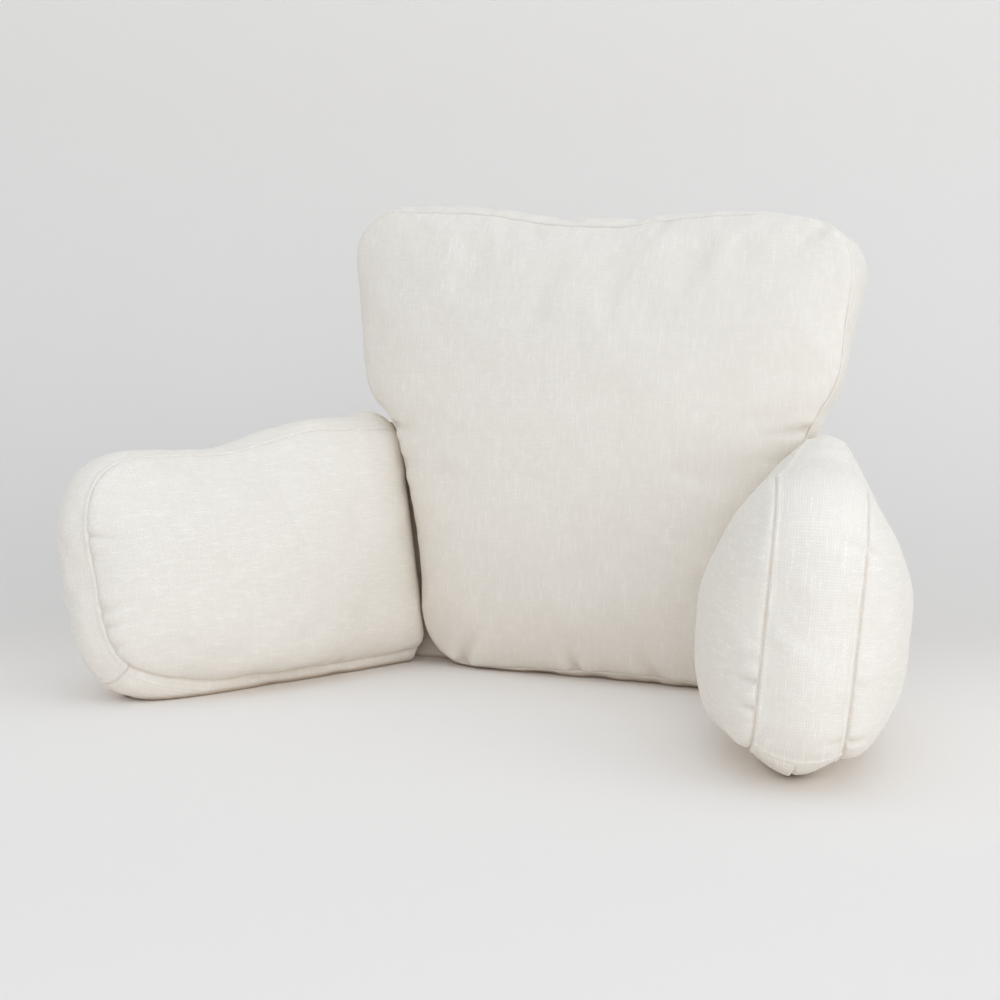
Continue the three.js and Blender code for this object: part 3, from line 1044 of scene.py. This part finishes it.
# The threads of the weave: how fast the tone changes along one, for each thread that it crosses, the
# seeds of the two sets, how far apart the noises of two threads lie, and their detail
WARP_RUN = 0.10
WEFT_RUN = 0.18
WARP_SEED = 11.0
WEFT_SEED = 503.0
THREADS_APART = 1.71
TONE_DETAIL = 2.0
NOISE_MEAN = 0.5
STRAY_RUN = 0.13  # how fast a thread strays to the side, and how far
STRAY_SEED = 40.0
STRAY_DETAIL = 1.0
STRAY = 0.45
HALF_THREAD = 0.28  # half the width of a thread, and what chance and its tone add to it
CHANCE_WIDTH = 0.10
TONE_WIDTH = 0.30
UNDER_HEIGHT = 0.45  # height of a thread where it runs under, and what it gains where it runs over
OVER_HEIGHT = 0.55
WEFT_HEIGHT = 0.8  # height of a weft thread beside a warp thread, and how much of its tone shows
WEFT_TONE = 0.7
DRIFT_RUN = 0.045  # how fast all the threads drift together over the cloth, and how far, in threads
DRIFT_DETAIL = 1.0
DRIFT = 1.6

# The cloth that they make
GAP_SHARE = 0.42
SLUB_TONES = (0.44, 0.82)  # the tones between which a thread turns into a slub
ROUGHNESS = 0.94
ON_THREADS = -0.08  # what a thread's height adds to the roughness
BUMP_STRENGTH = 0.6
BUMP_HEIGHT = 0.3 * MM
SPECULAR = 0.2
SHEEN = 0.12
SHEEN_ROUGHNESS = 0.5


class NodeSheet:
    """Adds nodes to a node tree and links them, so that a formula reads from left to right."""

    def __init__(self, tree):
        self.tree = tree

    def found(self, kind):
        """The node of a kind that the tree began with."""
        return next(node for node in self.tree.nodes if node.type == kind)

    def add(self, kind, **settings):
        """A new node with some settings."""
        node = self.tree.nodes.new(kind)
        for name, value in settings.items():
            setattr(node, name, value)
        return node

    def feed(self, socket, value):
        """Links an output to a socket, or sets the socket's value."""
        if isinstance(value, bpy.types.NodeSocket):
            self.tree.links.new(value, socket)
        else:
            socket.default_value = value

    def fed(self, node, values):
        """The first output of a node whose first inputs get these values."""
        for socket, value in zip(node.inputs, values):
            self.feed(socket, value)
        return node.outputs[0]

    def math(self, operation, *values):
        """A number worked out from other numbers."""
        return self.fed(self.add("ShaderNodeMath", operation=operation), values)

    def vector(self, operation, *values):
        """A vector worked out from other vectors."""
        return self.fed(self.add("ShaderNodeVectorMath", operation=operation), values)

    def scaled(self, vector, scale):
        """A vector made longer or shorter."""
        node = self.add("ShaderNodeVectorMath", operation="SCALE")
        self.feed(node.inputs["Scale"], scale)
        return self.fed(node, (vector,))

    def combine(self, *numbers):
        """A vector from three numbers."""
        return self.fed(self.add("ShaderNodeCombineXYZ"), numbers)

    def split(self, vector):
        """The three numbers of a vector."""
        node = self.add("ShaderNodeSeparateXYZ")
        self.feed(node.inputs[0], vector)
        return node.outputs

    def noise(self, vector, scale, detail, output="Fac"):
        """Smooth noise on a vector."""
        node = self.add("ShaderNodeTexNoise", noise_dimensions="3D")
        self.feed(node.inputs["Vector"], vector)
        self.feed(node.inputs["Scale"], scale)
        self.feed(node.inputs["Detail"], detail)
        return node.outputs[output]

    def chance(self, number):
        """A random number that belongs to a whole number."""
        node = self.add("ShaderNodeTexWhiteNoise", noise_dimensions="1D")
        self.feed(node.inputs["W"], number)
        return node.outputs["Value"]

    def ramp(self, value, low, high, to_low=0.0, to_high=1.0, kind="SMOOTHSTEP"):
        """A value taken from one range to another, with soft ends unless the kind says otherwise."""
        node = self.add("ShaderNodeMapRange", interpolation_type=kind)
        return self.fed(node, (value, low, high, to_low, to_high))

    def blend(self, share, first, second):
        """A colour between two colours."""
        node = self.add("ShaderNodeMix", data_type="RGBA")
        colours = [socket for socket in node.inputs if socket.type == "RGBA"]
        self.feed(node.inputs["Factor"], share)
        self.feed(colours[0], first)
        self.feed(colours[1], second)
        return next(socket for socket in node.outputs if socket.type == "RGBA")

    def either(self, share, first, second):
        """The first shader, or the second where the share is 1."""
        return self.fed(self.add("ShaderNodeMixShader"), (share, first, second))


def node_material(name):
    """A new material, the sheet of its nodes, and its shader."""
    material = bpy.data.materials.new(name)
    material.use_nodes = True
    sheet = NodeSheet(material.node_tree)
    return material, sheet, sheet.found("BSDF_PRINCIPLED")


def thread_noise(sheet, number, along, run, seed, detail):
    """Smooth noise that changes along each thread."""
    return sheet.noise(sheet.combine(number, sheet.math("MULTIPLY", along, run), seed), 1.0, detail)


def weave_threads(sheet, across, along, seed, over_sign, tone_run):
    """A set of parallel threads: their height, how far they cover the cloth, and a tone along each."""
    index = sheet.math("FLOOR", across)
    own = sheet.math("ADD", index, seed)
    number = sheet.math("MULTIPLY", own, THREADS_APART)
    tone = thread_noise(sheet, number, along, tone_run, seed, TONE_DETAIL)
    stray = thread_noise(sheet, number, along, STRAY_RUN, seed + STRAY_SEED, STRAY_DETAIL)
    middle = sheet.math("SUBTRACT", sheet.math("FRACT", across), 0.5 + STRAY * NOISE_MEAN)
    local = sheet.math("MULTIPLY_ADD", stray, STRAY, middle)
    width = sheet.math("MULTIPLY_ADD", sheet.chance(own), CHANCE_WIDTH, HALF_THREAD)
    width = sheet.math("MULTIPLY_ADD", tone, TONE_WIDTH, width)
    bend = sheet.math("DIVIDE", local, width)
    cover = sheet.math("MAXIMUM", sheet.math("SUBTRACT", 1.0, sheet.math("MULTIPLY", bend, bend)), 0.0)
    wave = sheet.math("SINE", sheet.math("MULTIPLY", along, math.pi))
    parity = sheet.math("COSINE", sheet.math("MULTIPLY", index, math.pi))
    over = sheet.math("MULTIPLY_ADD", sheet.math("MULTIPLY", wave, parity), 0.5 * over_sign, 0.5)
    height = sheet.math("MULTIPLY", cover, sheet.math("MULTIPLY_ADD", over, OVER_HEIGHT, UNDER_HEIGHT))
    return height, cover, tone


def linen_weave_group():
    """A plain weave with uneven threads, on coordinates in metres."""
    group = bpy.data.node_groups.new("Linen weave", "ShaderNodeTree")
    group.interface.new_socket(name="Cloth", in_out="INPUT", socket_type="NodeSocketVector")
    for name in ("Thread Pitch", "Wander"):
        group.interface.new_socket(name=name, in_out="INPUT", socket_type="NodeSocketFloat")
    for name in ("Height", "Gap", "Tone"):
        group.interface.new_socket(name=name, in_out="OUTPUT", socket_type="NodeSocketFloat")
    sheet = NodeSheet(group)
    given = sheet.add("NodeGroupInput").outputs
    result = sheet.add("NodeGroupOutput").inputs
    threads = sheet.scaled(given["Cloth"], sheet.math("DIVIDE", 1.0, given["Thread Pitch"]))
    drift = sheet.noise(threads, DRIFT_RUN, DRIFT_DETAIL, "Color")
    drift = sheet.vector("SUBTRACT", drift, (NOISE_MEAN, NOISE_MEAN, NOISE_MEAN))
    threads = sheet.vector("ADD", threads, sheet.scaled(drift, given["Wander"]))
    across, along, _ = sheet.split(threads)
    warp_height, warp_cover, warp_tone = weave_threads(sheet, across, along, WARP_SEED, 1, WARP_RUN)
    weft_height, weft_cover, weft_tone = weave_threads(sheet, along, across, WEFT_SEED, -1, WEFT_RUN)
    weft_height = sheet.math("MULTIPLY", weft_height, WEFT_HEIGHT)
    weft_tone = sheet.math("MULTIPLY_ADD", weft_tone, WEFT_TONE, (1 - WEFT_TONE) / 2)
    sheet.feed(result["Height"], sheet.math("MAXIMUM", warp_height, weft_height))
    covered = sheet.math("MAXIMUM", warp_cover, weft_cover)
    sheet.feed(result["Gap"], sheet.math("SUBTRACT", 1.0, covered))
    on_top = sheet.math("GREATER_THAN", warp_height, weft_height)
    difference = sheet.math("SUBTRACT", warp_tone, weft_tone)
    sheet.feed(result["Tone"], sheet.math("MULTIPLY_ADD", difference, on_top, weft_tone))
    return group


def cover_cloth(name, sizes, colours):
    """The ivory linen-look cloth of the covers."""
    material, sheet, shader = node_material(name)
    grain = sheet.add("ShaderNodeUVMap", uv_map=GRAIN_MAP).outputs["UV"]
    weave = sheet.add("ShaderNodeGroup")
    weave.node_tree = bpy.data.node_groups.get("Linen weave") or linen_weave_group()
    sheet.feed(weave.inputs["Cloth"], grain)
    sheet.feed(weave.inputs["Thread Pitch"], sizes.thread_pitch)
    sheet.feed(weave.inputs["Wander"], DRIFT)
    slub = sheet.ramp(weave.outputs["Tone"], *SLUB_TONES)
    thread = sheet.blend(slub, (*colours.thread, 1), (*colours.slub, 1))
    gap = sheet.math("MULTIPLY", weave.outputs["Gap"], GAP_SHARE)
    colour = sheet.blend(gap, thread, (*colours.gap, 1))
    # Painted shade: the cloth is blended towards the crease colour as far as the painted-shade attribute
    # says
    depth = sheet.add("ShaderNodeAttribute", attribute_name=PAINTED_SHADE).outputs["Fac"]
    colour = sheet.blend(depth, colour, (*colours.crease, 1))
    sheet.feed(shader.inputs["Base Color"], colour)
    rough = sheet.math("MULTIPLY_ADD", weave.outputs["Height"], ON_THREADS, ROUGHNESS)
    sheet.feed(shader.inputs["Roughness"], rough)
    bumped = sheet.add("ShaderNodeBump")
    sheet.feed(bumped.inputs["Height"], weave.outputs["Height"])
    bumped.inputs["Strength"].default_value = BUMP_STRENGTH
    bumped.inputs["Distance"].default_value = BUMP_HEIGHT
    sheet.feed(shader.inputs["Normal"], bumped.outputs["Normal"])
    shader.inputs["Specular IOR Level"].default_value = SPECULAR
    shader.inputs["Sheen Weight"].default_value = SHEEN
    shader.inputs["Sheen Roughness"].default_value = SHEEN_ROUGHNESS
    return material


def the_cloth(context):
    """The cover cloth, made once."""
    made = bpy.data.materials.get("Cover cloth")
    return made or cover_cloth("Cover cloth", context.scene.pillow_sizes, context.scene.pillow_colours)


# The camera, fitted to the seams of the photographed pillow
CAMERA_PLACE = Vector((0.4190, -0.9888, 0.2208))
CAMERA_HEADING = 26.54
CAMERA_PITCH = 4.83
FOCAL_SHARE = 1.45  # focal length over the picture's width
SENSOR = 36


def camera_axes():
    """The camera's horizontal directions: to its right, and away from it."""
    heading = math.radians(CAMERA_HEADING)
    right = Vector((math.cos(heading), math.sin(heading), 0))
    return right, Vector((-math.sin(heading), math.cos(heading), 0))


def facing(direction):
    """The rotation of a camera or a light that looks along a direction."""
    return direction.to_track_quat("-Z", "Y").to_euler()


def make_camera():
    """A camera at the photograph's viewing angle."""
    pitch = math.radians(CAMERA_PITCH)
    away = camera_axes()[1]
    data = bpy.data.cameras.new("Camera")
    data.sensor_width = SENSOR
    data.lens = SENSOR * FOCAL_SHARE
    made = add_object("Camera", data)
    made.location = CAMERA_PLACE
    made.rotation_euler = facing(away * math.cos(pitch) - Vector((0, 0, math.sin(pitch))))
    bpy.context.scene.camera = made


# The sweep: how far it reaches, and where it bends up behind the pillow, along the camera's view
SWEEP_FRONT = -3.0
SWEEP_BEND = 0.16
SWEEP_RADIUS = 0.55
SWEEP_TOP = 3.2
SWEEP_WIDE = 8.0
SWEEP_STEPS = 48
GROUND_REACH = 12.0  # the floor round the sweep, just under it, and the run that gives its painted shade
GROUND_LEVEL = -1 * MM
GROUND_RUN = 0.14
PAPER_ROUGHNESS = 0.9
PAPER_SPECULAR = 0.1
RUN_MAP = "Run"
RUN_FIRST, RUN_LAST = -0.8, 1.0  # the stretch, from the bend, over which the shade painted on the paper changes
# Painted shade on the sweep, standing in for the light falling off: the share of its colour at each run
# from the bend
SweepShade = namedtuple("SweepShade", "run tone")
SWEEP_SHADES = (
    SweepShade(-0.62, 0.955),
    SweepShade(-0.45, 0.985),
    SweepShade(-0.30, 1.0),
    SweepShade(-0.187, 0.96),
    SweepShade(-0.069, 0.89),
    SweepShade(0.059, 0.84),
    SweepShade(0.209, 0.82),
    SweepShade(0.321, 0.845),
    SweepShade(0.507, 0.90),
    SweepShade(0.75, 0.965),
    SweepShade(0.96, 1.0),
)


def sweep_paper(colours):
    """Matt paper with shade painted on it, a little darker along the bend, and that can be seen through
    from behind.
    """
    material, sheet, shader = node_material("Sweep paper")
    run = sheet.split(sheet.add("ShaderNodeUVMap", uv_map=RUN_MAP).outputs["UV"])[1]
    share = sheet.math("DIVIDE", sheet.math("SUBTRACT", run, RUN_FIRST), RUN_LAST - RUN_FIRST)
    painted_shades = sheet.add("ShaderNodeValToRGB")
    painted_shades.color_ramp.interpolation = "B_SPLINE"
    stops = painted_shades.color_ramp.elements
    for i, row in enumerate(SWEEP_SHADES):
        place = (row.run - RUN_FIRST) / (RUN_LAST - RUN_FIRST)
        stop = stops[i] if i < len(stops) else stops.new(place)
        stop.position = place
        stop.color = (*(row.tone * part for part in colours.sweep), 1)
    sheet.feed(painted_shades.inputs["Fac"], share)
    sheet.feed(shader.inputs["Base Color"], painted_shades.outputs["Color"])
    shader.inputs["Roughness"].default_value = PAPER_ROUGHNESS
    shader.inputs["Specular IOR Level"].default_value = PAPER_SPECULAR
    behind = sheet.add("ShaderNodeNewGeometry").outputs["Backfacing"]
    clear = sheet.add("ShaderNodeBsdfTransparent").outputs[0]
    surface = sheet.either(behind, shader.outputs[0], clear)
    sheet.feed(sheet.found("OUTPUT_MATERIAL").inputs["Surface"], surface)
    return material


def make_sweep(colours):
    """A floor that curves up into a backdrop behind the pillow, square to the camera."""
    right, away = camera_axes()
    profile = [(SWEEP_FRONT, 0, SWEEP_FRONT - SWEEP_BEND)]
    for angle in np.linspace(0, math.pi / 2, SWEEP_STEPS):
        distance = SWEEP_BEND + SWEEP_RADIUS * math.sin(angle)
        profile.append((distance, SWEEP_RADIUS * (1 - math.cos(angle)), SWEEP_RADIUS * angle))
    straight = SWEEP_TOP - SWEEP_RADIUS
    profile.append((SWEEP_BEND + SWEEP_RADIUS, SWEEP_TOP, profile[-1][2] + straight))
    points = []
    runs = []
    for distance, height, run in profile:
        for side in (-SWEEP_WIDE, SWEEP_WIDE):
            points.append(away * distance + right * side + Vector((0, 0, height)))
            runs.append((side, run))
    faces = [(2 * i, 2 * i + 1, 2 * i + 3, 2 * i + 2) for i in range(len(profile) - 1)]
    faces.append(tuple(range(len(points), len(points) + 4)))
    for x, y in ((-1, -1), (1, -1), (1, 1), (-1, 1)):
        points.append(Vector((x * GROUND_REACH, y * GROUND_REACH, GROUND_LEVEL)))
        runs.append((0, GROUND_RUN))
    corners = [runs[corner] for face in faces for corner in face]
    made = mesh_object("sweep", points, faces, RUN_MAP, corners, sweep_paper(colours))


LIGHT_COLOUR = (0.90, 0.945, 1.0)
LIGHT_SIZE = 1.6
LIGHT_AIM = Vector((0, 0, 0.15))
KEY_PLACE = (1.6, -1.4, 0.6)  # to the camera's right, away from it, and up
FRONT_PLACE = (0, -2.2, 0.5)
BOUNCES = 12
DISTANCE = 0.75  # how bright it looks beyond the floor


def soft_light(name, place, power):
    """A square soft light, placed along the camera's directions and aimed at the pillow."""
    right, away = camera_axes()
    data = bpy.data.lights.new(name, "AREA")
    data.shape = "SQUARE"
    data.size = LIGHT_SIZE
    data.energy = power
    data.color = LIGHT_COLOUR
    made = add_object(name, data)
    made.location = right * place[0] + away * place[1] + Vector((0, 0, place[2]))
    made.rotation_euler = facing(LIGHT_AIM - made.location)


def make_light(light):
    """Even light from all round, strongest from above, and soft lights on the right and in front."""
    world = bpy.data.worlds.new("Studio")
    world.use_nodes = True
    sheet = NodeSheet(world.node_tree)
    even = sheet.found("BACKGROUND")
    distance = sheet.add("ShaderNodeBackground")
    for background in (even, distance):
        background.inputs["Color"].default_value = (*LIGHT_COLOUR, 1)
    up = sheet.split(sheet.add("ShaderNodeTexCoord").outputs["Generated"])[2]
    sheet.feed(even.inputs["Strength"], sheet.ramp(up, 0.0, 1.0, light.horizon, light.zenith, "LINEAR"))
    distance.inputs["Strength"].default_value = DISTANCE
    seen = sheet.add("ShaderNodeLightPath").outputs["Is Camera Ray"]
    surface = sheet.either(seen, even.outputs[0], distance.outputs[0])
    sheet.feed(sheet.found("OUTPUT_WORLD").inputs["Surface"], surface)
    bpy.context.scene.world = world
    soft_light("Key", KEY_PLACE, light.key)
    soft_light("Front", FRONT_PLACE, light.front)


class PILLOW_OT_back_cover(bpy.types.Operator):
    """Make the cover of the back cushion"""

    bl_idname = "pillow.back_cover"
    bl_label = "Back cover"

    def execute(self, context):
        sizes = context.scene.pillow_sizes
        cushion = back_cushion(sizes)
        cloth = the_cloth(context)
        make_cover(
            "back_cover", "back_cushion", cushion, BACK_FINE, sizes, BACK_FOLDS, BACK_DENTS, cloth
        )
        return {"FINISHED"}


class PILLOW_OT_arm_covers(bpy.types.Operator):
    """Make the covers of the two arm cushions"""

    bl_idname = "pillow.arm_covers"
    bl_label = "Arm covers"

    def execute(self, context):
        sizes = context.scene.pillow_sizes
        cloth = the_cloth(context)
        for side, pose in ARM_POSES.items():
            name, node = f"{side}_arm_cover", f"{side}_arm_cushion"
            cushion = arm_cushion(sizes, pose)
            make_cover(name, node, cushion, ARM_FINE, sizes, ARM_FOLDS[side], ARM_DENTS[side], cloth)
        return {"FINISHED"}


class PILLOW_OT_hinge_strips(bpy.types.Operator):
    """Make the cloth strips that hold the arms to the back"""

    bl_idname = "pillow.hinge_strips"
    bl_label = "Hinge strips"

    def execute(self, context):
        sizes = context.scene.pillow_sizes
        cloth = the_cloth(context)
        back_line = boxing_middle("back_cover")
        for side, pose in ARM_POSES.items():
            arm_line = boxing_middle(f"{side}_arm_cover")
            make_hinge_strip(side, pose, back_line, arm_line, sizes, cloth)
        return {"FINISHED"}


class PILLOW_OT_stage(bpy.types.Operator):
    """Make the floor and backdrop, the light and the camera"""

    bl_idname = "pillow.stage"
    bl_label = "Stage"

    def execute(self, context):
        make_sweep(context.scene.pillow_colours)
        make_light(context.scene.pillow_light)
        make_camera()
        context.scene.view_settings.view_transform = "Standard"
        context.scene.cycles.diffuse_bounces = BOUNCES
        return {"FINISHED"}


class PILLOW_PT_sidebar(bpy.types.Panel):
    """Lists the pieces of the pillow with their sizes and colours"""

    bl_idname = "PILLOW_PT_sidebar"
    bl_label = "Stroller pillow"
    bl_space_type = "VIEW_3D"
    bl_region_type = "UI"
    bl_category = "Pillow"

    def draw(self, context):
        for setting in SETTINGS:
            group = getattr(context.scene, setting)
            box = self.layout.box()
            for name in group.__annotations__:
                box.prop(group, name)
        for operator in OPERATORS:
            self.layout.operator(operator.bl_idname)


OPERATORS = (PILLOW_OT_back_cover, PILLOW_OT_arm_covers, PILLOW_OT_hinge_strips, PILLOW_OT_stage)
SETTINGS = {"pillow_sizes": PillowSizes, "pillow_colours": PillowColours, "pillow_light": PillowLight}


def register():
    """Registers the settings, the operators and the panel."""
    for name, group in SETTINGS.items():
        bpy.utils.register_class(group)
        setattr(bpy.types.Scene, name, bpy.props.PointerProperty(type=group))
    for kind in (*OPERATORS, PILLOW_PT_sidebar):
        bpy.utils.register_class(kind)


def unregister():
    """Takes everything out again."""
    for kind in (PILLOW_PT_sidebar, *reversed(OPERATORS)):
        bpy.utils.unregister_class(kind)
    for name, group in SETTINGS.items():
        delattr(bpy.types.Scene, name)
        bpy.utils.unregister_class(group)


def main():
    """Makes the pillow and its stage."""
    register()
    bpy.ops.pillow.back_cover()
    bpy.ops.pillow.arm_covers()
    bpy.ops.pillow.hinge_strips()
    bpy.ops.pillow.stage()


if __name__ == "__main__":
    main()
